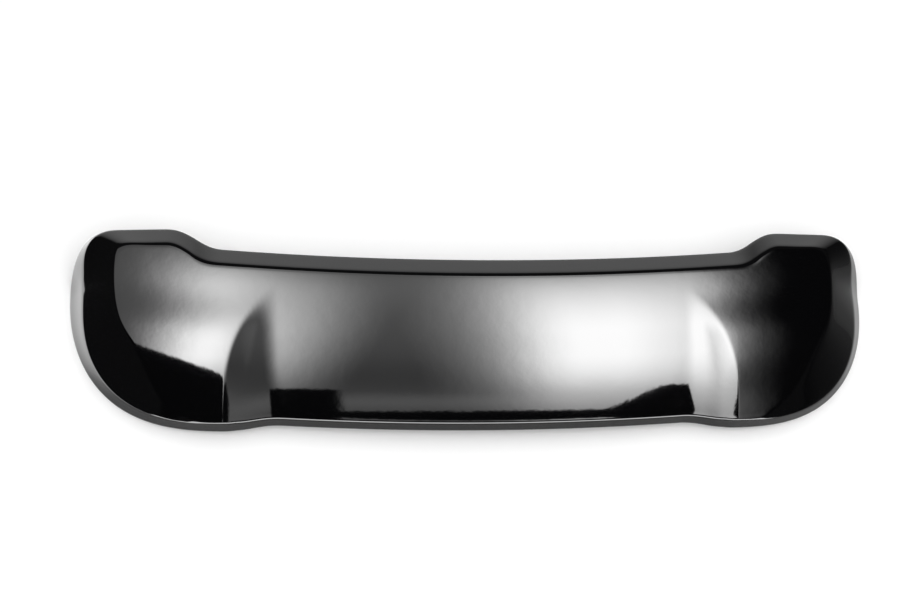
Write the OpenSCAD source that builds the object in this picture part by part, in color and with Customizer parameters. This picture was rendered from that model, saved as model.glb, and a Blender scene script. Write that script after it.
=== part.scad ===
// Rear roof spoiler for a compact car, blow moulded in gloss black plastic.
// X runs across the car, +Y points forward to the roof, +Z is up. The origin is in the middle of the
// footprint, and the lowest edges stand on Z = 0.

/* [Overall] */
// Width over both sides
overall_w = 1220; // [1160:10:1300]
// Distance from the widest point forward to the roof edge at the centre
front_reach = 32; // [28:1:50]
// Distance from the widest point back to the trailing edge at the centre
rear_reach = 216; // [180:1:250]
// Height of the roof edge above the ground at the centre
front_h = 77; // [64:1:86]
// Height of the trailing edge above the ground at the centre
rear_h = 20; // [12:1:26]
// Fall of the roof edge from the centre to the sides
front_fall = 19; // [10:1:32]
// Fall of the trailing edge from the centre to the sides
rear_fall = 26; // [12:1:32]

/* [Plan outline] */
// Forward sweep of the roof edge between the centre and the ears
front_bow = 22; // [10:1:36]
// Forward sweep of the trailing edge between the centre and the lobes
rear_bow = 17; // [8:1:26]
// Distance from the centre at which each ear starts to come forward
ear_start = 380; // [360:1:400]
// Width of the S-curve that leads into each ear
ear_sweep = 90; // [85:1:115]
// How far each ear stands forward of the roof edge
ear_reach = 30; // [20:1:38]
// Distance from the centre at which each lobe starts to stand back
lobe_start = 290; // [270:1:310]
// Width of the step that leads into each lobe
lobe_sweep = 97; // [75:1:110]
// How far each lobe stands back from the trailing edge
lobe_reach = 13; // [5:1:20]
// Distance from the centre at which the front corner starts to round
front_corner = 539; // [530:1:555]
// Distance from the centre at which the rear corner starts to round
rear_corner = 330; // [300:1:380]
// Fullness of the front corner
front_round = 2.2; // [2:0.1:3]
// Fullness of the rear corner where it leaves the trailing edge
rear_round = 3.2; // [2.4:0.1:3.6]
// Fullness of the rear corner where it meets the side
rear_tip = 2.05; // [1.9:0.05:2.6]

/* [Edges] */
// Height of the thin wall along the roof edge
front_wall = 6; // [3:0.5:9]
// Height of the lip below the trailing edge
rear_lip = 22; // [16:1:26]
// Height of the lower wall at the widest point
side_wall = 34; // [26:1:40]
// Inward lean of the roof edge wall
front_lean = 1; // [0.5:0.5:3]
// Inward lean of the lip
rear_lean = 2; // [1:0.5:5]
// Inward lean of the lower side wall
side_lean = 21; // [12:1:24]
// Width of the sloped band along the roof edge
front_band = 29.5; // [22:0.5:36]
// Rise of the sloped band along the roof edge
front_band_rise = 14.5; // [9:0.5:18]
// Width of the sloped band along each side
side_band = 48; // [40:1:52]
// Width of the roll-over above the lip
roll_w = 5; // [3:0.5:12]
// Height of the roll-over above the lip
roll_h = 5; // [3:0.5:12]
// Arc that the roll-over turns through before it meets the panel
roll_arc = 60; // [40:1:75]

/* [Top panel] */
// Fore-and-aft crown of the top panel
top_crown = 16; // [8:1:22]
// Height of the lobes above the centre panel
lobe_rise = 9; // [4:0.5:14]
// Half width of the centre panel at the foot of the crease walls
scoop_half = 303; // [290:1:315]
// Width of the crease wall at the trailing edge
crease_w = 80; // [60:1:95]
// Share of the way back from the roof edge at which each crease starts
crease_start = 0.12; // [0.05:0.01:0.2]
// How quickly the crease wall widens on its way back
crease_fullness = 2.6; // [1.8:0.1:3.2]
// Share of the crease wall's height that is lost again at the trailing edge
crease_drop = 0.4; // [0.2:0.05:0.6]

/* [Underside] */
// Width of the level rim under the roof edge
front_rim = 14; // [12:0.5:18]
// Width of the level rim under the lip
rear_rim = 8; // [5:0.5:11]
// Width of the level rim under each side
side_rim = 10; // [7:0.5:13]
// Width of the slope from the rim up to the underside panel
rim_slope = 4; // [2:0.5:6]
// Width of the inner slope of each side wall
side_slope = 16; // [10:1:18]
// Rise of the underside panel above the rim along the roof edge
front_recess = 4; // [2:0.5:6]
// Rise of the underside panel above the rim along the lip
rear_recess = 5; // [2:0.5:8]
// Rise of the underside panel above each side rim
side_recess = 30; // [20:1:36]
// Fore-and-aft arch of the underside panel
under_arch = 14; // [6:1:18]

/* [Fixings] */
// Distance from the centre of the inner fixing
fixing_inner_x = 120; // [90:1:150]
// Distance from the centre of the middle fixing
fixing_middle_x = 310; // [280:1:340]
// Distance from the centre of the outer fixing
fixing_outer_x = 500; // [470:1:515]
// Distance from the roof edge back to the fixing line
fixing_back = 62; // [54:1:80]
// Radius of each mounting pad
pad_r = 19; // [17:0.5:22]
// Height of each mounting pad below the underside panel
pad_h = 7; // [5:0.5:10]
// Outer radius of the threaded insert
insert_r = 4.5; // [4:0.1:5.5]
// Length of the threaded insert
insert_len = 14; // [10:0.5:16]
// Radius of the hole through the insert, tapped M6
insert_bore_r = 2.5; // [2:0.1:3]
// Radius of the shoulder at the mouth of the insert
insert_flange_r = 6.5; // [6:0.1:7.5]
// Thickness of the shoulder
insert_flange_h = 1.2; // [0.8:0.1:2]
// Outer radius of the foam gasket
gasket_r = 17; // [14:0.5:19]
// Inner radius of the foam gasket
gasket_hole_r = 9; // [8:0.5:10]
// Thickness of the foam gasket
gasket_h = 5; // [3:0.5:7]

/* [Locating pins] */
// Distance from the centre to each locating pin
pin_x = 215; // [190:1:240]
// Radius of the pin
pin_r = 4; // [3:0.1:5]
// Length of the pin below its collar
pin_len = 16; // [12:0.5:20]
// Radius of the stem that is pressed into the body
stem_r = 3; // [2.5:0.1:3.5]
// Length of the stem
stem_len = 12; // [8:0.5:14]
// Radius of the pin's collar
collar_r = 8; // [6.5:0.1:10]
// Thickness of the pin's collar
collar_h = 2; // [1:0.1:3]

/* [Foam tape] */
// Width of the foam tape
tape_w = 8; // [5:0.5:9]
// Thickness of the foam tape
tape_h = 3; // [1:0.5:4]
// Distance from the roof edge to the tape
tape_edge = 3; // [2:0.5:4]

/* [Plugs] */
// Distance from the centre to each vent plug
plug_x = 420; // [400:1:440]
// Distance from the trailing edge forward to each vent plug
plug_fwd = 70; // [60:1:90]
// Radius of the plug's head
plug_head_r = 11; // [9:0.5:14]
// Thickness of the plug's head
plug_head_h = 2; // [1:0.1:3]
// Radius of the plug's stem and its hole
plug_r = 7; // [5:0.1:8]
// Length of the plug's stem
plug_len = 9; // [6:0.5:12]

/* [Hidden] */

half_w = overall_w / 2;
// The outline is drawn about its widest point, and this moves it to the middle of the footprint
shift_y = (rear_reach - front_reach - front_bow - ear_reach) / 2;
// The roof edge bows up to the middle of the ear's S-curve, the trailing edge up to the lobe
front_bow_end = ear_start + ear_sweep / 2;
rear_bow_end = lobe_start + lobe_sweep * 0.75;
// The panel's ribs run straight fore and aft inside this half width and fan out beyond it
rib_half = front_corner - 79;
// Where the trailing edge's roll-over widens into the sloped band of the side
band_start = lobe_start + lobe_sweep + 23;
band_end = front_corner + 36;
smooth = $preview ? 48 : 64;

function clamp01(t) = min(1, max(0, t));
function ease(t) = let (c = clamp01(t)) c * c * c * (10 - 15 * c + 6 * c * c);
function soft(t) = let (c = clamp01(t)) c * c * (3 - 2 * c);
function mix(a, b, t) = a + (b - a) * t;

// Stations across one half: coarse over the centre, fine over the creases, the S-curve and the corner
centre_steps = 8;
crease_steps = 14;
sweep_steps = 9;
ear_steps = 5;
corner_steps = 12;
crease_begin = scoop_half - 12;
crease_end = scoop_half + crease_w + 7;
ear_end = ear_start + ear_sweep;
half_stations = concat(
    [for (i = [0 : centre_steps - 1]) crease_begin * i / centre_steps],
    [for (i = [0 : crease_steps - 1]) mix(crease_begin, crease_end, i / crease_steps)],
    [for (i = [0 : sweep_steps - 1]) mix(crease_end, ear_end, i / sweep_steps)],
    [for (i = [0 : ear_steps - 1]) mix(ear_end, front_corner, i / ear_steps)],
    [for (i = [0 : corner_steps]) mix(front_corner, half_w, sin(i * 86 / corner_steps))]);
last = len(half_stations) - 1;
stations = concat([for (i = [last : -1 : 1]) -half_stations[i]], half_stations);
columns = len(stations);

// Plan outline: how much of the full reach is left at x, from 1 on the straight to 0 at the widest point
function corner_left(x, start, fullness, tip) =
    pow(1 - pow(clamp01((abs(x) - start) / (half_w - start)), fullness), 1 / tip);
function front_left(x) = corner_left(x, front_corner, front_round, front_round);
function rear_left(x) = corner_left(x, rear_corner, rear_round, rear_tip);
function front_run(x) = front_reach
    + front_bow * pow(min(abs(x), front_bow_end) / front_bow_end, 2)
    + ear_reach * ease((abs(x) - ear_start) / ear_sweep);
function rear_run(x) = rear_reach
    - rear_bow * pow(min(abs(x), rear_bow_end) / rear_bow_end, 2)
    + lobe_reach * ease((abs(x) - lobe_start) / lobe_sweep);
function front_y(x) = front_left(x) * front_run(x);
function rear_y(x) = -rear_left(x) * rear_run(x);

// Height of the lower edge above the ground
function front_line_z(x) = front_h - front_fall * pow(x / half_w, 2);
function rear_line_z(x) = rear_h - rear_fall * pow(x / half_w, 2);
function front_z(x) = soft(front_left(x)) * front_line_z(x);
function rear_z(x) = soft(rear_left(x)) * max(0, rear_line_z(x));

// Each point of the outline: its place, whether it is on the rear, the height of the lower edge, how
// far its bands have turned into those of the side, and how near it is to the widest point
outline = concat(
    [for (x = stations) [x, front_y(x)]],
    [for (i = [columns - 1 : -1 : 0]) [stations[i], rear_y(stations[i])]]);
count = len(outline);
is_rear = [for (i = [0 : count - 1]) i >= columns];
edge_z = [for (i = [0 : count - 1]) is_rear[i] ? rear_z(outline[i].x) : front_z(outline[i].x)];
side_share = [for (i = [0 : count - 1]) let (x = outline[i].x)
    is_rear[i] ? soft((abs(x) - band_start) / (band_end - band_start))
               : 1 - pow(front_left(x), 2)];
tip_share = [for (i = [0 : count - 1])
    1 - (is_rear[i] ? rear_left(outline[i].x) : front_left(outline[i].x))];

// Insets run along the ribs, and beyond the straight ribs towards a point inside each end. They are
// stretched so that a band keeps its width across the curve
fan_front_y = 6.5;
fan_rear_y = -65;
function unit(v) = v / norm(v);
function edge_y(i, x) = is_rear[i] ? rear_y(x) : front_y(x);
function along(i) = let (x = outline[i].x)
    abs(x) < rib_half ? (is_rear[i] ? -1 : 1) * [1, edge_y(i, x + 0.5) - edge_y(i, x - 0.5)]
                      : outline[(i + 1) % count] - outline[(i + count - 1) % count];
normals = [for (i = [0 : count - 1]) let (d = unit(along(i))) [d.y, -d.x]];
aims = [for (i = [0 : count - 1]) let (x = outline[i].x)
    abs(x) < rib_half ? [0, is_rear[i] ? 1 : -1]
                      : unit([sign(x) * (rib_half - 1), is_rear[i] ? fan_rear_y : fan_front_y]
                             - outline[i])];
stretch = [for (i = [0 : count - 1]) 1 / max(0.5, normals[i] * aims[i])];
function inset(i, d, z) = let (p = outline[i] + aims[i] * d * stretch[i]) [p.x, p.y, z];

// A size that changes from the front or the rear edge to the side, either where the bands turn or
// steadily up to the widest point
function by_side(i, front, rear, flank) = mix(is_rear[i] ? rear : front, flank, side_share[i]);
function by_tip(i, front, rear, flank) = mix(is_rear[i] ? rear : front, flank, tip_share[i]);

// The top panel is one smooth surface over the plan. t runs from 0 at the roof edge's band to 1 at the
// roll-over. Each crease wall leaves the centre panel slowly, runs level and turns over at a firm crest
crown_fade = 4;
crease_foot = 0.55;
crease_crest = 0.14;
function crease_shape(s) = let (c = clamp01(s), slope = 1 / (1 - crease_foot / 2 - crease_crest / 2))
    c < crease_foot ? slope * c * c / (2 * crease_foot)
    : c < 1 - crease_crest ? slope * (c - crease_foot / 2)
    : 1 - slope * (1 - c) * (1 - c) / (2 * crease_crest);
function lobe_shape(x, t) = let (
    spread = 1 - pow(1 - clamp01((t - crease_start) / (1 - crease_start)), crease_fullness))
    crease_shape((abs(x) - scoop_half) / (crease_w * max(0.001, spread)))
    * spread * (1 - crease_drop * ease((t - 0.5) / 0.5));
function panel_z(x, y) = let (
    a = front_reach + front_bow * pow(x / front_bow_end, 2) - front_lean - front_band,
    b = rear_lean + roll_w - rear_reach + rear_bow * pow(x / rear_bow_end, 2)
        - lobe_reach * ease((abs(x) - lobe_start) / lobe_sweep),
    t = (a - y) / (a - b))
    mix(front_line_z(x) + front_wall + front_band_rise, rear_line_z(x) + rear_lip + roll_h, t)
    + top_crown * 4 * t * (1 - t) * (1 - pow(x / half_w, crown_fade))
    + lobe_rise * lobe_shape(x, t);

// The outer edge, from the lower edge up over the wall and the band to the rim of the panel
wall_d = [for (i = [0 : count - 1]) by_tip(i, front_lean, rear_lean, side_lean)];
wall_z = [for (i = [0 : count - 1])
    edge_z[i] + by_tip(i, front_wall, rear_lip + lobe_rise * lobe_shape(outline[i].x, 1), side_wall)];
band_w = [for (i = [0 : count - 1]) by_side(i, front_band, roll_w, side_band + side_lean - wall_d[i])];
rim_flat = [for (i = [0 : count - 1]) inset(i, wall_d[i] + band_w[i], 0)];
panel_rim = [for (p = rim_flat) [p.x, p.y, panel_z(p.x, p.y)]];
function band_point(i, u) = let (
    arc = by_side(i, 0, 1, 0.35),
    run = mix(u, (1 - cos(roll_arc * u)) / (1 - cos(roll_arc)), arc),
    rise = mix(u, sin(roll_arc * u) / sin(roll_arc), arc))
    inset(i, wall_d[i] + run * band_w[i], mix(wall_z[i], panel_rim[i].z, rise));
wall_ring = [for (i = [0 : count - 1]) inset(i, wall_d[i], wall_z[i])];
band_steps = 3;

// Ribs join the front of each rim to its rear. Beyond the straight ribs, each one bows inward towards
// its middle, so that the ribs stay apart
function across(i) = count - 1 - i;
function front_of(i) = is_rear[i] ? across(i) : i;
fan_depth = 14;
function rib_point(rim, i, t) = let (
    a = rim[front_of(i)],
    b = rim[across(front_of(i))],
    bow = fan_depth * clamp01((abs(a.x + b.x) / 2 - rib_half) / (abs(rim[last].x) - rib_half)),
    p = mix(a, b, t))
    [p.x - sign(p.x) * bow * 4 * t * (1 - t), p.y, p.z];
function panel_point(i, t) = let (p = rib_point(panel_rim, i, t)) [p.x, p.y, panel_z(p.x, p.y)];

// The underside: a level rim, a short slope, then an arched panel lofted along the same ribs
foot_w = [for (i = [0 : count - 1]) by_side(i, front_rim, rear_rim, side_rim)];
foot_ring = [for (i = [0 : count - 1]) inset(i, foot_w[i], edge_z[i])];
under_rim = [for (i = [0 : count - 1])
    inset(i, foot_w[i] + by_side(i, rim_slope, rim_slope, side_slope),
          edge_z[i] + by_tip(i, front_recess, rear_recess, side_recess))];
function under_point(i, t) = let (
    p = rib_point(under_rim, i, t))
    [p.x, p.y, p.z + under_arch * 4 * t * (1 - t) * (1 - pow(p.x / half_w, crown_fade))];
// Height of the underside panel at a distance from the centre and from the roof edge
function under_z(x, back) = let (
    a = front_y(x) - front_rim - rim_slope,
    b = rear_y(x) + rear_rim + rim_slope,
    t = (a - front_y(x) + back) / (a - b))
    mix(front_z(x) + front_recess, rear_z(x) + rear_recess, t)
    + under_arch * 4 * t * (1 - t) * (1 - pow(x / half_w, crown_fade));

// Rows from the rim of a panel to its middle line
top_rows = 8;
under_rows = 3;
function row_t(i, row, rows) = let (t = row / (2 * rows + 1)) is_rear[i] ? 1 - t : t;
rings = concat(
    [for (row = [under_rows : -1 : 1]) [for (i = [0 : count - 1]) under_point(i, row_t(i, row, under_rows))]],
    [under_rim, foot_ring, [for (i = [0 : count - 1]) inset(i, 0, edge_z[i])], wall_ring],
    [for (k = [1 : band_steps]) [for (i = [0 : count - 1]) band_point(i, k / band_steps)]],
    [for (row = [1 : top_rows]) [for (i = [0 : count - 1]) panel_point(i, row_t(i, row, top_rows))]]);

// A skin over a stack of closed rings, with both ends closed by strips from the front to the rear
function skin_faces(levels, n) = concat(
    [for (k = [0 : levels - 2]) for (i = [0 : n - 1]) let (
        a = k * n + i, b = k * n + (i + 1) % n, c = b + n, d = a + n)
        each [[a, b, c], [a, c, d]]],
    [for (i = [0 : n / 2 - 2]) let (
        a = i, b = i + 1, c = n - 2 - i, d = n - 1 - i)
        each [[a, c, b], [a, d, c]]],
    [for (i = [0 : n / 2 - 2]) let (
        base = (levels - 1) * n, a = base + i, b = base + i + 1, c = base + n - 2 - i, d = base + n - 1 - i)
        each [[a, b, c], [a, c, d]]]);

// Places of the fixings, the pins and the plugs on the underside
function fixing_at(x) = [x, front_y(x) - fixing_back + shift_y, under_z(x, fixing_back) - pad_h];
function pin_at(x) = fixing_at(x);
function plug_at(x) = let (back = front_y(x) - rear_y(x) - plug_fwd)
    [x, rear_y(x) + plug_fwd + shift_y, under_z(x, back) - pad_h];
fixing_xs = [-fixing_outer_x, -fixing_middle_x, -fixing_inner_x,
             fixing_inner_x, fixing_middle_x, fixing_outer_x];
pad_sink = 8;

module pad(place, radius) {
    translate(place) cylinder(h = pad_h + pad_sink, r = radius, $fn = smooth);
}

module body() {
    color([0.03, 0.03, 0.035]) difference() {
        union() {
            polyhedron(points = [for (ring = rings) for (p = ring) p + [0, shift_y, 0]],
                       faces = skin_faces(len(rings), count));
            for (x = fixing_xs) pad(fixing_at(x), pad_r);
            for (x = [-pin_x, pin_x]) pad(pin_at(x), collar_r + 3);
            for (x = [-plug_x, plug_x]) pad(plug_at(x), plug_head_r + 3);
        }
        for (x = fixing_xs) translate(fixing_at(x)) {
            translate([0, 0, -1]) cylinder(h = insert_len + 1, r = insert_r, $fn = smooth);
            translate([0, 0, -1]) cylinder(h = insert_flange_h + 1, r = insert_flange_r, $fn = smooth);
        }
        for (x = [-pin_x, pin_x]) translate(pin_at(x) - [0, 0, 1])
            cylinder(h = stem_len + 1, r = stem_r, $fn = smooth);
        for (x = [-plug_x, plug_x]) translate(plug_at(x) - [0, 0, 1])
            cylinder(h = plug_len + 1, r = plug_r, $fn = smooth);
    }
}

module insert(x) {
    color([0.75, 0.6, 0.3]) translate(fixing_at(x)) difference() {
        union() {
            cylinder(h = insert_len, r = insert_r, $fn = smooth);
            cylinder(h = insert_flange_h, r = insert_flange_r, $fn = smooth);
        }
        translate([0, 0, -1]) cylinder(h = insert_len + 2, r = insert_bore_r, $fn = smooth);
    }
}

module gasket(x) {
    color([0.12, 0.12, 0.12]) translate(fixing_at(x) - [0, 0, gasket_h]) difference() {
        cylinder(h = gasket_h, r = gasket_r, $fn = smooth);
        translate([0, 0, -1]) cylinder(h = gasket_h + 2, r = gasket_hole_r, $fn = smooth);
    }
}

module locating_pin(x) {
    tip_h = pin_r * 0.8;
    color([0.85, 0.85, 0.82]) translate(pin_at(x)) rotate_extrude($fn = smooth) polygon([
        [0, stem_len], [stem_r, stem_len], [stem_r, 0], [collar_r, 0], [collar_r, -collar_h],
        [pin_r, -collar_h], [pin_r, tip_h - pin_len], [pin_r * 0.6, -pin_len], [0, -pin_len]]);
}

module foam_tape(from_x, to_x) {
    xs = concat([from_x], [for (x = stations) if (x > from_x + 2 && x < to_x - 2) x], [to_x]);
    n = len(xs);
    points = [for (x = xs) let (y = front_y(x) - tape_edge + shift_y, z = front_z(x))
        each [[x, y, z], [x, y - tape_w, z], [x, y - tape_w, z - tape_h], [x, y, z - tape_h]]];
    color([0.2, 0.2, 0.2]) polyhedron(points, concat(
        [[0, 1, 2, 3], [4 * n - 1, 4 * n - 2, 4 * n - 3, 4 * n - 4]],
        [for (k = [0 : n - 2]) for (s = [0 : 3]) let (
            a = 4 * k + s, b = 4 * k + (s + 1) % 4)
            [a, a + 4, b + 4, b]]));
}

module vent_plug(x) {
    color([0.1, 0.1, 0.1]) translate(plug_at(x)) union() {
        translate([0, 0, -plug_head_h]) cylinder(h = plug_head_h, r = plug_head_r, $fn = smooth);
        cylinder(h = plug_len, r = plug_r, $fn = smooth);
    }
}

tape_half = stations[last + 6];
tape_from = stations[last + 8];
tape_to = stations[last + 17];

body();
insert(-fixing_outer_x);  // insert_left_outer
insert(-fixing_middle_x);  // insert_left_middle
insert(-fixing_inner_x);  // insert_left_inner
insert(fixing_inner_x);  // insert_right_inner
insert(fixing_middle_x);  // insert_right_middle
insert(fixing_outer_x);  // insert_right_outer
gasket(-fixing_outer_x);  // gasket_left_outer
gasket(-fixing_middle_x);  // gasket_left_middle
gasket(-fixing_inner_x);  // gasket_left_inner
gasket(fixing_inner_x);  // gasket_right_inner
gasket(fixing_middle_x);  // gasket_right_middle
gasket(fixing_outer_x);  // gasket_right_outer
locating_pin(-pin_x);  // locating_pin_left
locating_pin(pin_x);  // locating_pin_right
foam_tape(-tape_to, -tape_from);  // foam_tape_left
foam_tape(-tape_half, tape_half);  // foam_tape_centre
foam_tape(tape_from, tape_to);  // foam_tape_right
vent_plug(-plug_x);  // vent_plug_left
vent_plug(plug_x);  // vent_plug_right
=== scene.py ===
import math

import bmesh
import bpy
import numpy as np
from mathutils import Matrix, Vector


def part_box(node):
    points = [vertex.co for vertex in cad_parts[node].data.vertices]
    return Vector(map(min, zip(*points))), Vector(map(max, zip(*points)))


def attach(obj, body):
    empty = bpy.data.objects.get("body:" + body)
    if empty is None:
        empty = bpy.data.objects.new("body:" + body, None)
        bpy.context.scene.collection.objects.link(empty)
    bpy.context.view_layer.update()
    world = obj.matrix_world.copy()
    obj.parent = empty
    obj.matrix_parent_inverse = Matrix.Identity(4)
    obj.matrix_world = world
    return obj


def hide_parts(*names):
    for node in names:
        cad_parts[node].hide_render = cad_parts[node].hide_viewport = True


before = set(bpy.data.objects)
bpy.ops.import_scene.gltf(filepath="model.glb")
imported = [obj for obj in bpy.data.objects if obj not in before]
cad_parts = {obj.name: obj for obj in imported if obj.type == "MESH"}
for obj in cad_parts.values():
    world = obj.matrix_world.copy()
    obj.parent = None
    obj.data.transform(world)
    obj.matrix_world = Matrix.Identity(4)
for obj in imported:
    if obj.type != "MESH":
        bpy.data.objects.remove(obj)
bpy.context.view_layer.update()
bpy.ops.object.select_all(action="DESELECT")


# Body
# One hollow moulding of ABS, blown between two mould halves that part along its lower edge. It is
# sanded, primed and painted gloss black under clear lacquer, so every edge is soft and the paint
# runs over all of it. Screws in its underside hold it to the tailgate.

# The outline in plan: the roof edge in front, the trailing edge behind, the corners between them.
half_w = 0.610
front_reach, rear_reach = 0.032, 0.216
front_h, front_fall = 0.077, 0.019
rear_h, rear_fall = 0.020, 0.026
front_bow, rear_bow = 0.022, 0.017
ear_start, ear_sweep, ear_reach = 0.380, 0.090, 0.030
lobe_start, lobe_sweep, lobe_reach = 0.290, 0.097, 0.013
front_corner, rear_corner = 0.539, 0.330
front_round, rear_round, rear_tip = 2.2, 3.2, 2.05
# The wall under the rim, and the band or roll that leads from the wall to the top.
front_wall, rear_lip, side_wall = 0.006, 0.022, 0.034
front_lean, rear_lean, side_lean = 0.001, 0.002, 0.021
front_band, front_band_rise, side_band = 0.0295, 0.0145, 0.048
band_wait, band_past = 0.023, 0.036
roll_w, roll_h, roll_arc = 0.005, 0.005, math.radians(60)
roll_wait, roll_fade = 0.010, 0.045
edge_radius = 0.0018
# The top: its crown, the sunken middle and the creases that part it from the raised ends.
top_crown, crown_loss = 0.016, 0.4
lobe_rise, scoop_half = 0.009, 0.303
crease_w, crease_start, crease_fullness = 0.080, 0.12, 2.6
crease_foot, crease_crest, crease_drop, crease_ease = 0.6, 0.04, 0.4, 0.4
# The rim that stands on the car, the recess behind it and the arch of the underside.
front_rim, rear_rim, side_rim = 0.014, 0.008, 0.010
rim_slope, side_slope = 0.004, 0.016
front_recess, rear_recess, side_recess = 0.004, 0.005, 0.030
under_arch, under_fade = 0.014, 4
# The loops shrink evenly between the ribs, and towards a point on each side beyond them.
rib_clear, fan_depth = 0.079, 0.014
fan_front_y, fan_rear_y, fan_from, fan_run = 0.0065, -0.065, 0.03, 0.08
rim_smooth_front, rim_smooth_rear, rim_smooth_run, rim_passes = 0.50, 0.40, 0.04, 18
top_rows, under_rows = 14, 3
scoop_lines, crease_lines, ear_lines, end_lines, corner_lines = 12, 38, 14, 8, 19
corner_turn = 89.2

shift_y = (rear_reach - front_reach - front_bow - ear_reach) / 2
front_bow_end = ear_start + ear_sweep / 2
rear_bow_end = lobe_start + lobe_sweep * 0.75
rib_half = front_corner - rib_clear
band_start = lobe_start + lobe_sweep + band_wait
band_end = front_corner + band_past
ear_end = ear_start + ear_sweep
scoop_end = scoop_half - 0.012
crest_end = scoop_half + crease_w + 0.007


def ease(t):
    t = np.clip(t, 0, 1)
    return t**3 * (10 - 15 * t + 6 * t * t)


def soft(t):
    t = np.clip(t, 0, 1)
    return t * t * (3 - 2 * t)


def mix(a, b, t):
    return a + (b - a) * t


# The lines across stand close at the creases, closest at their crests, and close up to the tips.
crest_lines = scoop_half + crease_w - np.array([0.0035, 0.002, 0.0005, -0.001])
half = np.sort(np.concatenate([
    crest_lines, np.linspace(0, scoop_end, scoop_lines, endpoint=False),
    np.linspace(scoop_end, crest_end, crease_lines, endpoint=False),
    np.linspace(crest_end, ear_end, ear_lines, endpoint=False),
    np.linspace(ear_end, front_corner, end_lines, endpoint=False),
    mix(front_corner, half_w, np.sin(np.radians(np.linspace(0, corner_turn, corner_lines))))]))
stations = np.concatenate([-half[:0:-1], half])
columns = len(stations)
count = 2 * columns


def corner_left(x, start, fullness, tip):
    """The share of its reach that the outline has left at x: 1 up to the corner, 0 at the tip."""
    return (1 - np.clip((abs(x) - start) / (half_w - start), 0, 1)**fullness)**(1 / tip)


def front_run(x):
    return (front_reach + front_bow * (np.minimum(abs(x), front_bow_end) / front_bow_end)**2
            + ear_reach * ease((abs(x) - ear_start) / ear_sweep))


def rear_run(x):
    return (rear_reach - rear_bow * (np.minimum(abs(x), rear_bow_end) / rear_bow_end)**2
            + lobe_reach * ease((abs(x) - lobe_start) / lobe_sweep))


def front_line_z(x):
    return front_h - front_fall * (x / half_w)**2


def rear_line_z(x):
    return rear_h - rear_fall * (x / half_w)**2


xs = np.concatenate([stations, stations[::-1]])
is_rear = np.arange(count) >= columns


def edge_left(x):
    return np.where(is_rear, corner_left(x, rear_corner, rear_round, rear_tip),
                    corner_left(x, front_corner, front_round, front_round))


def edge_y(x):
    return edge_left(x) * np.where(is_rear, -rear_run(x), front_run(x))


left = edge_left(xs)
outline = np.stack([xs, edge_y(xs)], 1)
edge_z = soft(left) * np.where(is_rear, np.maximum(0, rear_line_z(xs)), front_line_z(xs))
side_share = np.where(is_rear, soft((abs(xs) - band_start) / (band_end - band_start)),
                      1 - left**2)
tip_soft = 0.15
tip_share = 1 - ((np.sqrt(left**2 + tip_soft**2) - tip_soft)
                 / (math.sqrt(1 + tip_soft**2) - tip_soft))

# Each point of the outline has a direction in which the loops move inwards from it.
step = 0.0005
straight = abs(xs) < rib_half
along = np.where(straight[:, None],
                 np.stack([0 * xs + 2 * step, edge_y(xs + step) - edge_y(xs - step)], 1)
                 * np.where(is_rear, -1, 1)[:, None],
                 np.roll(outline, -1, 0) - np.roll(outline, 1, 0))
along /= np.linalg.norm(along, axis=1)[:, None]
normals = np.stack([along[:, 1], -along[:, 0]], 1)
target = np.stack([np.sign(xs) * (rib_half - 0.001),
                   mix(fan_front_y, fan_rear_y, soft((fan_from - outline[:, 1]) / fan_run))], 1)
aims = np.where(straight[:, None], np.stack([0 * xs, np.where(is_rear, 1, -1)], 1),
                (target - outline) / np.linalg.norm(target - outline, axis=1)[:, None])
stretch = 1 / np.maximum(0.5, (normals * aims).sum(1))


def inset(d, z):
    """The outline moved inwards by d and laid at the heights z."""
    return np.column_stack([outline + aims * (d * stretch)[:, None], z + 0 * xs])


def by_side(front, rear, flank):
    return mix(np.where(is_rear, rear, front), flank, side_share)


def by_tip(front, rear, flank):
    return mix(np.where(is_rear, rear, front), flank, tip_share)


def crease_shape(s):
    """A wall that leaves the centre panel slowly, runs level and turns over at a firm crest."""
    s = np.clip(s, 0, 1)
    slope = 1 / (1 - crease_foot / 2 - crease_crest / 2)
    return np.where(s < crease_foot, slope * s * s / (2 * crease_foot),
                    np.where(s < 1 - crease_crest, slope * (s - crease_foot / 2),
                             1 - slope * (1 - s)**2 / (2 * crease_crest)))


def lobe_shape(x, t):
    """How high the raised end stands at x, t of the way from the roof edge to the trailing edge."""
    back = np.clip((t - crease_start) / (1 - crease_start), 0, 1)
    spread = 1 - (1 - back)**crease_fullness
    s = (abs(x) - scoop_half) / (crease_w * np.maximum(0.001, spread))
    rise = spread * soft(back / crease_ease) * (1 - crease_drop * ease((t - 0.5) / 0.5))
    return crease_shape(s) * rise


def panel_z(x, y):
    a = front_reach + front_bow * (x / front_bow_end)**2 - front_lean - front_band
    b = (rear_lean + roll_w - rear_reach + rear_bow * (x / rear_bow_end)**2
         - lobe_reach * ease((abs(x) - lobe_start) / lobe_sweep))
    t = (a - y) / (a - b)
    front_z = front_line_z(x) + front_wall + front_band_rise
    rear_z = rear_line_z(x) + rear_lip + roll_h
    return (mix(front_z, rear_z, t)
            + top_crown * 4 * t * (1 - t) * (1 - crown_loss * (x / half_w)**2)
            + lobe_rise * lobe_shape(x, t))


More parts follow.
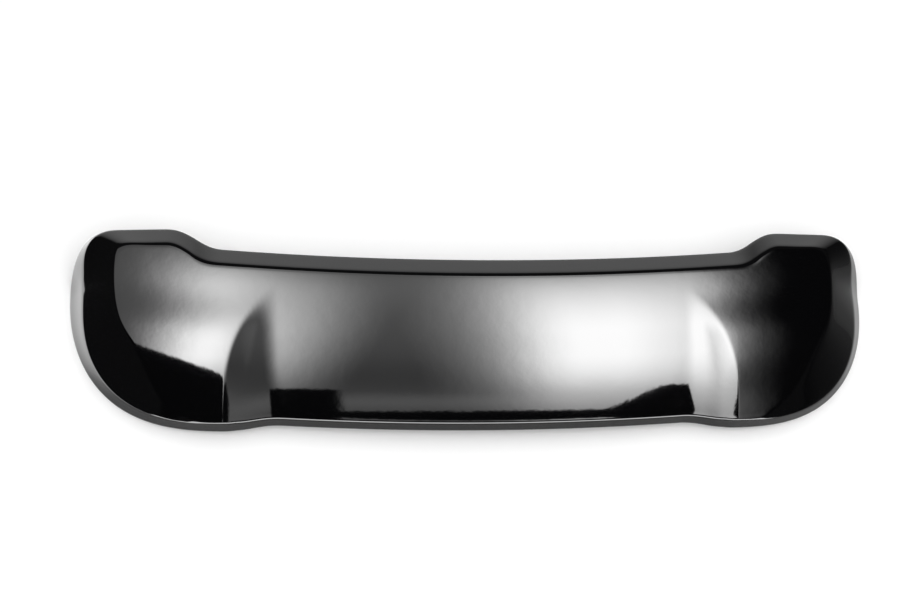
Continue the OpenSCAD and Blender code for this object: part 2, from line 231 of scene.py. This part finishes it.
lean_share = np.where(is_rear, tip_share, 1 - left**2)
wall_d = mix(np.where(is_rear, rear_lean, front_lean), side_lean, lean_share)
wall_h = by_tip(front_wall, rear_lip + lobe_rise * lobe_shape(xs, 1), side_wall)
band_w = by_side(front_band, roll_w, side_band + side_lean - wall_d)
panel_rim = inset(wall_d + band_w, 0)
free = soft((abs(xs) - np.where(is_rear, rim_smooth_rear, rim_smooth_front)) / rim_smooth_run)
for _ in range(rim_passes):
    middle = (np.roll(panel_rim, 1, 0) + np.roll(panel_rim, -1, 0)) / 2
    panel_rim += 0.5 * free[:, None] * (middle - panel_rim)
panel_rim[:, 2] = panel_z(panel_rim[:, 0], panel_rim[:, 1])
wall_top = inset(wall_d, edge_z + wall_h)


def wall_loop(h):
    return inset(wall_d * h / wall_h, edge_z + h)


def band_loop(u):
    """From the wall (0) to the top (1): an arc along the trailing lip and straight elsewhere."""
    arc = np.where(is_rear, 1 - soft((abs(xs) - band_start + roll_wait) / roll_fade), 0)
    run = mix(u, (1 - np.cos(roll_arc * u)) / (1 - math.cos(roll_arc)), arc)
    rise = mix(u, np.sin(roll_arc * u) / math.sin(roll_arc), arc)
    return np.column_stack([mix(wall_top[:, :2], panel_rim[:, :2], run[:, None]),
                            mix(wall_top[:, 2], panel_rim[:, 2], rise)])


def rib_loop(rim, t):
    """A loop t of the way from each point of the rim to the one across from it."""
    a, b = rim, rim[::-1]
    reach = (abs(a[:, 0] + b[:, 0]) / 2 - rib_half) / (abs(rim[columns - 1, 0]) - rib_half)
    p = mix(a, b, t)
    p[:, 0] -= np.sign(p[:, 0]) * fan_depth * np.clip(reach, 0, 1) * 4 * t * (1 - t)
    return p


def panel_loop(t):
    p = rib_loop(panel_rim, t)
    p[:, 2] = panel_z(p[:, 0], p[:, 1])
    return p


foot_w = by_side(front_rim, rear_rim, side_rim)
slope_w = by_side(rim_slope, rim_slope, side_slope)
recess = by_tip(front_recess, rear_recess, side_recess)
under_rim = inset(foot_w + slope_w, edge_z + recess)


def under_loop(t):
    p = rib_loop(under_rim, t)
    p[:, 2] += under_arch * 4 * t * (1 - t) * (1 - (p[:, 0] / half_w)**under_fade)
    return p


loop = None


def lay_loop(points):
    """Extrudes the selected loop of edges and lays the new loop along the points."""
    global loop
    mesh = bpy.context.object.data
    if loop is not None:
        bpy.ops.mesh.extrude_edges_indiv()
    bm = bmesh.from_edit_mesh(mesh)
    chosen = [v for v in bm.verts if v.select]
    for n, v in enumerate(chosen):
        i = n if loop is None else int(np.argmin(((loop - np.array(v.co))**2).sum(1)))
        v.co = points[i] + np.array([0, shift_y, 0])
    loop = points + np.array([0, shift_y, 0])
    bmesh.update_edit_mesh(mesh)


def close_loop():
    """Closes the last loop with ribs from its front half to its rear half."""
    mesh = bpy.context.object.data
    bm = bmesh.from_edit_mesh(mesh)
    chosen = [v for v in bm.verts if v.select]
    at = {int(np.argmin(((loop - np.array(v.co))**2).sum(1))): v for v in chosen}
    for i in range(columns - 1):
        bm.faces.new([at[i], at[i + 1], at[count - 2 - i], at[count - 1 - i]])
    bmesh.update_edit_mesh(mesh)


bpy.ops.mesh.primitive_circle_add(vertices=count, radius=half_w)
body = bpy.context.object
body.name = body.data.name = "spoiler_body"
bpy.ops.object.mode_set(mode="EDIT")
bpy.ops.mesh.select_mode(type="EDGE")
bpy.ops.mesh.select_all(action="SELECT")
lay_loop(inset(edge_radius, edge_z))
lay_loop(wall_loop(0))
lay_loop(wall_loop(edge_radius))
lay_loop(wall_loop(wall_h - edge_radius))
lay_loop(wall_loop(wall_h))
for u in (0.1, 0.4, 0.62, 0.76, 1):
    lay_loop(band_loop(u))
for row in [0.9] + list(range(2, top_rows + 1)):
    lay_loop(panel_loop(row / (2 * top_rows + 1)))
close_loop()

# The underside starts again from the open lower edge.
bpy.ops.mesh.select_all(action="DESELECT")
bm = bmesh.from_edit_mesh(body.data)
for e in bm.edges:
    e.select_set(e.is_boundary)
bmesh.update_edit_mesh(body.data)
loop = inset(edge_radius, edge_z) + np.array([0, shift_y, 0])
lay_loop(inset(foot_w * 0.9, edge_z))
lay_loop(inset(foot_w, edge_z))
lay_loop(mix(inset(foot_w, edge_z), under_rim, 0.5))
lay_loop(under_rim)
for row in range(1, under_rows + 1):
    lay_loop(under_loop(row / (2 * under_rows + 1)))
close_loop()
bpy.ops.mesh.select_all(action="SELECT")
bpy.ops.mesh.normals_make_consistent(inside=False)
bpy.ops.object.mode_set(mode="OBJECT")
smoother = body.modifiers.new("smooth", "SUBSURF")
smoother.levels = smoother.render_levels = 1
bpy.ops.object.modifier_apply(modifier="smooth")
bpy.ops.object.shade_smooth()


def turned(name, place, profile):
    """A round piece: a closed profile of (radius, height), spun upright about a place."""
    bpy.ops.object.select_all(action="DESELECT")
    bpy.ops.mesh.primitive_circle_add(vertices=len(profile), radius=0.01)
    piece = bpy.context.object
    piece.name = piece.data.name = name
    for v, (radius, height) in zip(piece.data.vertices, profile):
        v.co = Vector(place) + Vector((radius, 0, height))
    piece.matrix_world = Matrix()
    bpy.ops.object.mode_set(mode="EDIT")
    bpy.ops.mesh.select_all(action="SELECT")
    bpy.ops.mesh.spin(steps=48, angle=2 * math.pi, center=place, axis=(0, 0, 1))
    bpy.ops.mesh.select_all(action="SELECT")
    bpy.ops.mesh.remove_doubles(threshold=0.00002)
    bpy.ops.mesh.normals_make_consistent(inside=False)
    bpy.ops.object.mode_set(mode="OBJECT")
    bpy.ops.object.shade_smooth_by_angle(angle=math.radians(40))
    return piece


def place_of(node, rise=0.0):
    """The middle of a node in plan, at a height above its lowest point."""
    low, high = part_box(node)
    return (low.x + high.x) / 2, (low.y + high.y) / 2, low.z + rise


# The pads stand on the underside: six for the inserts, two for the pins and two for the plugs.
pad_top, pin_reach, plug_head, flange_h = 0.013, 0.016, 0.002, 0.0012
sides = ("left", "right")
fixings = [side + "_" + where for side in sides for where in ("outer", "middle", "inner")]


def pad_profile(bore, radius, edge):
    return [(bore, 0), (radius - edge, 0), (radius, edge), (radius, pad_top), (bore, pad_top)]


flange_seat, bush_seat = 0.0067, 0.0046
fixing_pad = ([(flange_seat, 0)] + pad_profile(bush_seat, 0.019, 0.0008)[1:]
              + [(bush_seat, flange_h), (flange_seat, flange_h)])
pads = [turned("pad_" + name, place_of("insert_" + name), fixing_pad) for name in fixings]
for side in sides:
    pads.append(turned("pad_pin_" + side, place_of("locating_pin_" + side, pin_reach),
                       pad_profile(0.0031, 0.011, 0.0006)))
    pads.append(turned("pad_plug_" + side, place_of("vent_plug_" + side, plug_head),
                       pad_profile(0.0071, 0.014, 0.0006)))
bpy.ops.object.select_all(action="DESELECT")
for piece in pads + [body]:
    piece.select_set(True)
bpy.context.view_layer.objects.active = body
bpy.ops.object.join()


def material(name):
    """A new material, in whose tree the node helpers then work."""
    global tree
    made = bpy.data.materials.new(name)
    made.use_nodes = True
    tree = made.node_tree
    return made


def node(kind, **settings):
    made = tree.nodes.new(kind)
    for name, value in settings.items():
        setattr(made, name, value)
    return made


def wire(value, socket):
    """Links an output to the socket, or sets the socket to a plain value."""
    if isinstance(value, bpy.types.NodeSocket):
        tree.links.new(value, socket)
    else:
        socket.default_value = value


def wires(made, values):
    for name, value in values.items():
        wire(value, made.inputs[name])


def bump_of(height, depth, under=None):
    """The normal of a surface that a height moves by a depth, over another bump or none."""
    made = node("ShaderNodeBump")
    wires(made, {"Height": height, "Distance": depth})
    if under:
        wire(under, made.inputs["Normal"])
    return made.outputs[0]


black_paint = material("gloss_black_paint")
spot = node("ShaderNodeTexCoord").outputs["Object"]
relief = None
for scale, detail, depth in ((45, 2, 0.00006), (260, 1, 0.00001)):
    noise = node("ShaderNodeTexNoise")
    wires(noise, {"Vector": spot, "Scale": scale, "Detail": detail})
    relief = bump_of(noise.outputs[0], depth, relief)
wires(tree.nodes["Principled BSDF"], {
    "Base Color": (0.002, 0.002, 0.0023, 1), "Roughness": 0.05, "IOR": 1.5,
    "Coat Weight": 1.0, "Coat Roughness": 0.03, "Normal": relief, "Coat Normal": relief})
body.data.materials.append(black_paint)
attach(body, "root")
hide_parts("body")


# Threaded inserts
# Six turned brass bushes for M6 screws, pressed hot into the pads, so that only the shoulder and
# the bore show.
def finish_of(name, dark, pale, grain, depth, roughness, metallic=0.0, cells=False):
    """A finish that drifts from dark to pale with a fine grain, which stands in its surface too."""
    made = material(name)
    texture = node("ShaderNodeTexVoronoi" if cells else "ShaderNodeTexNoise")
    wires(texture, {"Vector": node("ShaderNodeTexCoord").outputs["Object"], "Scale": grain})
    tint = node("ShaderNodeValToRGB")
    for stop, at, colour in zip(tint.color_ramp.elements, (0.25, 0.75), (dark, pale)):
        stop.position, stop.color = at, (*colour, 1)
    wire(texture.outputs[0], tint.inputs[0])
    wires(tree.nodes["Principled BSDF"], {
        "Base Color": tint.outputs[0], "Roughness": roughness, "Metallic": metallic,
        "Normal": bump_of(texture.outputs[0], depth)})
    return made


brass = finish_of("turned_brass", (0.42, 0.27, 0.08), (0.62, 0.43, 0.16), 700, 0.00002, 0.28,
                  metallic=1.0)
bore_r, bush_r, flange_r, bush_h, bevel = 0.0025, 0.0045, 0.0065, 0.014, 0.0003
for name in fixings:
    bush = turned("bush_" + name, place_of("insert_" + name), [
        (bore_r, 2 * bevel), (0.0030, 0), (flange_r - bevel, 0), (flange_r, bevel),
        (flange_r, flange_h), (bush_r, flange_h), (bush_r, bush_h), (bore_r, bush_h)])
    bush.data.materials.append(brass)
    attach(bush, "root")
    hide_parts("insert_" + name)


# Gaskets
# Rings of closed-cell foam rubber, stuck to the pads round the inserts. The screws squeeze them
# against the tailgate and keep water out.
foam = finish_of("foam_rubber", (0.012, 0.012, 0.013), (0.045, 0.045, 0.047), 1100, 0.00025, 0.95,
                 cells=True)
ring_in, ring_out, ring_h = 0.009, 0.017, 0.005
# A corner of the ring's section: how far in from the wall and from the flat face.
ring_turn = ((0.0008, 0), (0.0002, 0.0003), (0, 0.001))
for name in fixings:
    ring = turned("gasket_ring_" + name, place_of("gasket_" + name),
                  [(ring_in + ring_turn[0][0], 0)]
                  + [(ring_out - a, b) for a, b in ring_turn]
                  + [(ring_out - a, ring_h - b) for a, b in ring_turn[::-1]]
                  + [(ring_in + a, ring_h - b) for a, b in ring_turn]
                  + [(ring_in + a, b) for a, b in ring_turn[:0:-1]])
    ring.data.materials.append(foam)
    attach(ring, "root")
    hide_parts("gasket_" + name)


# Locating pins
# Two white pins of acetal, turned with a collar and pressed into the body. They find their holes in
# the tailgate before the screws go in.
acetal = finish_of("white_acetal", (0.62, 0.61, 0.57), (0.70, 0.69, 0.66), 400, 0.00001, 0.35)
for side in sides:
    pin = turned("pin_" + side, place_of("locating_pin_" + side, pin_reach), [
        (0, 0.012), (0.0027, 0.012), (0.003, 0.0117), (0.003, 0), (0.0077, 0), (0.008, -0.0003),
        (0.008, -0.0017), (0.0077, -0.002), (0.0045, -0.002), (0.004, -0.0026), (0.004, -0.0125),
        (0.0037, -0.0140), (0.0029, -0.0153), (0.0016, -0.0159), (0, -pin_reach)])
    pin.data.materials.append(acetal)
    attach(pin, "root")
    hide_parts("locating_pin_" + side)


# Foam tape
# Three strips of soft grey foam, stuck under the roof edge between the ears. They keep the edge
# from rubbing on the roof.
tape_foam = finish_of("tape_foam", (0.03, 0.03, 0.032), (0.085, 0.085, 0.09), 900, 0.0002, 0.9,
                      cells=True)
tape_w, tape_h, tape_edge, tape_corner = 0.008, 0.003, 0.003, 0.0007


def tape_section(at):
    ahead, above = front_run(at) - tape_edge, front_line_z(at)
    behind, below = ahead - tape_w, above - tape_h
    return np.array([
        (at, behind + tape_corner, above), (at, ahead - tape_corner, above),
        (at, ahead, above - tape_corner), (at, ahead, below + tape_corner),
        (at, ahead - tape_corner, below), (at, behind + tape_corner, below),
        (at, behind, below + tape_corner), (at, behind, above - tape_corner)])


for where in ("left", "centre", "right"):
    low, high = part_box("foam_tape_" + where)
    bpy.ops.object.select_all(action="DESELECT")
    bpy.ops.mesh.primitive_circle_add(vertices=8, radius=tape_w)
    strip = bpy.context.object
    strip.name = strip.data.name = "tape_strip_" + where
    bpy.ops.object.mode_set(mode="EDIT")
    bpy.ops.mesh.select_all(action="SELECT")
    loop = None
    for at in np.linspace(low.x, high.x, 24):
        lay_loop(tape_section(at))
    bpy.ops.mesh.select_all(action="SELECT")
    bpy.ops.mesh.fill_holes(sides=0)
    bpy.ops.mesh.normals_make_consistent(inside=False)
    bpy.ops.object.mode_set(mode="OBJECT")
    bpy.ops.object.shade_smooth_by_angle(angle=math.radians(50))
    strip.data.materials.append(tape_foam)
    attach(strip, "root")
    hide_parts("foam_tape_" + where)


# Vent plugs
# Two black rubber plugs with a dished head, pushed into the holes through which the moulding was
# blown and drained.
rubber = finish_of("plug_rubber", (0.010, 0.010, 0.010), (0.022, 0.022, 0.022), 500, 0.00003, 0.6)
for side in sides:
    plug = turned("plug_" + side, place_of("vent_plug_" + side, plug_head), [
        (0, 0.009), (0.0066, 0.009), (0.007, 0.0086), (0.007, 0), (0.0106, 0), (0.011, -0.0004),
        (0.0109, -0.0012), (0.0104, -0.0018), (0.0095, -plug_head), (0.0064, -plug_head),
        (0.0058, -0.0016), (0.0050, -0.0013), (0, -0.0013)])
    plug.data.materials.append(rubber)
    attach(plug, "root")
    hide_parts("vent_plug_" + side)


# Floor
# A plain pale studio floor that carries the part's soft shadow and fades into white far away. Its
# colour in the paint's reflections is painted: dark across the middle as painted shade for its
# shadow by the part, with a painted glowing strip left of the part and a pale painted strip on its
# right.
def math_node(operation, a, b):
    made = node("ShaderNodeMath", operation=operation)
    wire(a, made.inputs[0])
    wire(b, made.inputs[1])
    return made.outputs[0]


def plus(first, *others):
    for other in others:
        first = math_node("ADD", first, other)
    return first


def times(first, *others):
    for other in others:
        first = math_node("MULTIPLY", first, other)
    return first


def ramp(value, stops, end=None):
    """A number that runs smoothly through the stops (place, level), and on to the end if given."""
    low, high = stops[0][0], stops[-1][0] if end is None else end
    made = node("ShaderNodeValToRGB")
    made.color_ramp.interpolation = "B_SPLINE"
    points = made.color_ramp.elements
    while len(points) < len(stops):
        points.new(0.5)
    for point, (at, level) in zip(points, stops):
        point.position = (at - low) / (high - low)
        point.color = (level, level, level, 1)
    wire(math_node("DIVIDE", math_node("SUBTRACT", value, low), high - low), made.inputs[0])
    return made.outputs[0]


def span(value, low, high, start, end, kind="LINEAR"):
    """A number that is start up to low and end from high on."""
    made = node("ShaderNodeMapRange", interpolation_type=kind)
    wires(made, {"Value": value, "From Min": low, "From Max": high, "To Min": start, "To Max": end})
    return made.outputs[0]


def own_place():
    """The three numbers of a point's place in its object."""
    made = node("ShaderNodeSeparateXYZ")
    wire(node("ShaderNodeTexCoord").outputs["Object"], made.inputs[0])
    return made.outputs


bpy.ops.object.select_all(action="DESELECT")
bpy.ops.mesh.primitive_plane_add(size=12, location=(0, 0, 0))
floor = bpy.context.object
floor.name = "studio_floor"
floor.data.materials.append(material("studio_floor"))
x = own_place()[0]
rays = node("ShaderNodeLightPath").outputs
shade = node("ShaderNodeMix", data_type="RGBA")
wire(rays["Is Glossy Ray"], shade.inputs[0])
wire((0.92, 0.92, 0.92, 1), shade.inputs[6])
# Painted reflection: only in reflections the floor is painted dark as shade across the middle and
# pale at the sides.
painted_reflection_tone = ramp(x, [(-1.0, 1.0), (-0.62, 0.9), (-0.55, 0.12), (0.56, 0.1), (0.64, 0.7),
                    (0.76, 0.1)], end=1)
wire(painted_reflection_tone, shade.inputs[7])
# Painted highlight: only in reflections, a strip of floor left of the part glows, though no lamp is
# there.
painted_glow_left = times(span(x, -0.58, -0.66, 0, 1.6), rays["Is Glossy Ray"])
reach = node("ShaderNodeVectorMath", operation="LENGTH")
wire(node("ShaderNodeTexCoord").outputs["Object"], reach.inputs[0])
far_white = times(rays["Is Camera Ray"],
                  span(reach.outputs["Value"], 1.2, 4, 0.09, 1, kind="SMOOTHSTEP"))
wires(tree.nodes["Principled BSDF"], {
    "Base Color": shade.outputs[2], "Roughness": 0.8, "Emission Color": (1, 1, 1, 1),
    "Emission Strength": plus(far_white, painted_glow_left)})


# Fill light
# One wide, even lamp high over the floor. It sets the plain level of the light, and polished
# surfaces don't mirror it.
fill_data = bpy.data.lights.new("fill_light", "AREA")
fill_data.shape = "SQUARE"
fill_data.size = 10
fill_data.energy = 480
fill = bpy.data.objects.new("fill_light", fill_data)
bpy.context.scene.collection.objects.link(fill)
fill.location = (0, 0, 4)
fill.visible_glossy = fill.visible_camera = False


# Soft boxes
# A frame of cloth hangs level over the part with a long lamp behind each half of it, and black
# cards at its rear corners and its edges. Pale cards stand beyond the roof edge, the trailing edge
# and the right end. The paint mirrors them, and the room is dark.
def card(name, corners):
    """A glowing sheet that only reflections show. Returns the socket of its strength."""
    bpy.ops.object.select_all(action="DESELECT")
    bpy.ops.mesh.primitive_plane_add(size=2)
    piece = bpy.context.object
    piece.name = name
    for v, corner in zip(piece.data.vertices, corners):
        v.co = corner
    piece.visible_camera = piece.visible_diffuse = piece.visible_shadow = False
    piece.data.materials.append(material(name))
    tree.nodes.remove(tree.nodes["Principled BSDF"])
    shine = node("ShaderNodeEmission")
    wire(shine.outputs[0], tree.nodes["Material Output"].inputs["Surface"])
    return shine.inputs["Strength"]


def upright(start, end, foot, top):
    """The corners of a sheet that stands between two places in plan."""
    return [(*start, foot), (*end, foot), (*start, top), (*end, top)]


def past(value, edge, blur=0.02):
    """0 before the edge and 1 past it."""
    return span(value, edge - blur, edge + blur, 0, 1, kind="SMOOTHSTEP")


def flip(a):
    return math_node("SUBTRACT", 1.0, a)


box_z, box_strength = 1.6, 11.7
strength = card("cloth_boxes", [(-1.5, -1.6, box_z), (1.7, -1.6, box_z),
                                (-1.5, 1.25, box_z), (1.7, 1.25, box_z)])
x, y, _ = own_place()
y = math_node("SUBTRACT", y, shift_y)
left_across = plus(x, plus(0.73, times(y, -0.2)))
left_lamp = times(
    ramp(left_across, [(-0.35, 0), (-0.25, 0.005), (-0.15, 0.06), (-0.05, 0.55), (0.05, 1.05),
                       (0.15, 0.8), (0.25, 0.54), (0.35, 0.38), (0.45, 0.18), (0.55, 0.05),
                       (0.65, 0)]),
    ramp(y, [(-1.3, 0.1), (-1.05, 0.25), (-0.8, 0.75), (-0.55, 1), (-0.3, 1.05), (-0.05, 0.93),
             (0.2, 0.76), (0.45, 0.6), (0.7, 0.26), (0.95, 0.06)]))
right_across = plus(x, plus(-0.605, times(y, 0.1)))
right_lamp = times(
    ramp(right_across, [(-0.7, 0), (-0.6, 0.03), (-0.5, 0.09), (-0.4, 0.22), (-0.3, 0.5),
                        (-0.2, 0.87), (-0.1, 1.02), (0, 1.03), (0.1, 0.99), (0.2, 0.86),
                        (0.3, 0.78), (0.4, 0.45), (0.5, 0.12), (0.6, 0.03), (0.7, 0.012),
                        (0.8, 0.006)]),
    ramp(y, [(-1.3, 0.2), (-1.05, 0.37), (-0.8, 0.78), (-0.55, 1), (-0.3, 1.04), (-0.05, 1),
             (0.2, 0.87), (0.45, 0.68), (0.7, 0.44), (0.95, 0.1)]))
cloth = ramp(y, [(-1.3, 0.05), (-1.15, 0.09), (-1.0, 0.03), (-0.7, 0.02), (-0.4, 0.04),
                 (0, 0.055), (0.9, 0.055)])
back_edge = past(y, -1.31)
left_corner = past(plus(y, times(x, 2.0)), -2.29, blur=0.03)
left_card = times(past(x, -0.55), flip(past(x, -0.31)), flip(past(y, -0.97)))
right_card = times(past(plus(x, times(y, -0.48)), 1.396), flip(past(x, 1.12)),
                   flip(past(y, -0.94)))
right_edge = flip(past(plus(x, times(y, 0.2)), 1.15, blur=0.16))
wire(times(plus(cloth, left_lamp, right_lamp), back_edge, left_corner, flip(left_card),
           flip(right_card), right_edge, box_strength), strength)

strength = card("front_card", upright((-2.2, 2.5), (2.8, 2.5), -0.01, 1.4))
x, _, z = own_place()
wire(times(ramp(z, [(0, 0.84), (0.5, 0.81), (0.9, 0.68), (1.2, 0.4), (1.4, 0)]),
           ramp(x, [(-2.2, 1), (1.2, 1), (2.0, 0.6), (2.8, 0.15)])), strength)
wire(6, card("back_card", upright((-2.5, -3.0), (2.5, -3.0), 0.3, 1.9)))
strength = card("right_card", upright((2.8, -2.5), (2.8, 2.5), -0.01, 1.6))
wire(ramp(own_place()[2], [(0, 0.12), (0.4, 0.07), (0.8, 0.04), (1.2, 0.02), (1.6, 0)]), strength)

world = bpy.data.worlds.new("room")
bpy.context.scene.world = world
world.use_nodes = True
tree = world.node_tree
wires(tree.nodes["Background"], {
    "Color": (1, 1, 1, 1),
    "Strength": span(node("ShaderNodeLightPath").outputs["Is Camera Ray"], 0, 1, 0.02, 1)})


# Camera
# Above the trailing edge and a little to the left, turned so that the part lies level in the frame.
view_distance = 2.5
view_height, view_side, view_roll = math.radians(67.2), math.radians(18.32), math.radians(17.06)
view_shift_x, view_shift_y = 0.0238, 0.0101
pixels_per_mm, frame_pixels = 0.6511, 920
forward = Vector((math.sin(view_side) * math.cos(view_height),
                  math.cos(view_side) * math.cos(view_height), -math.sin(view_height)))
level_right = Vector((math.cos(view_side), -math.sin(view_side), 0))
level_up = level_right.cross(forward)
right = level_right * math.cos(view_roll) + level_up * math.sin(view_roll)
up = level_up * math.cos(view_roll) - level_right * math.sin(view_roll)
camera_data = bpy.data.cameras.new("camera")
camera_data.sensor_width = 36
camera_data.lens = (pixels_per_mm * view_distance * 1000
                    * camera_data.sensor_width / frame_pixels)
camera = bpy.data.objects.new("camera", camera_data)
bpy.context.scene.collection.objects.link(camera)
turn = Matrix((right, up, -forward)).transposed()
place = (Vector((0, shift_y, 0)) - view_distance * forward
         - view_shift_x * right - view_shift_y * up)
camera.matrix_world = Matrix.Translation(place) @ turn.to_4x4()
bpy.context.scene.camera = camera
bpy.context.scene.view_settings.view_transform = "Standard"
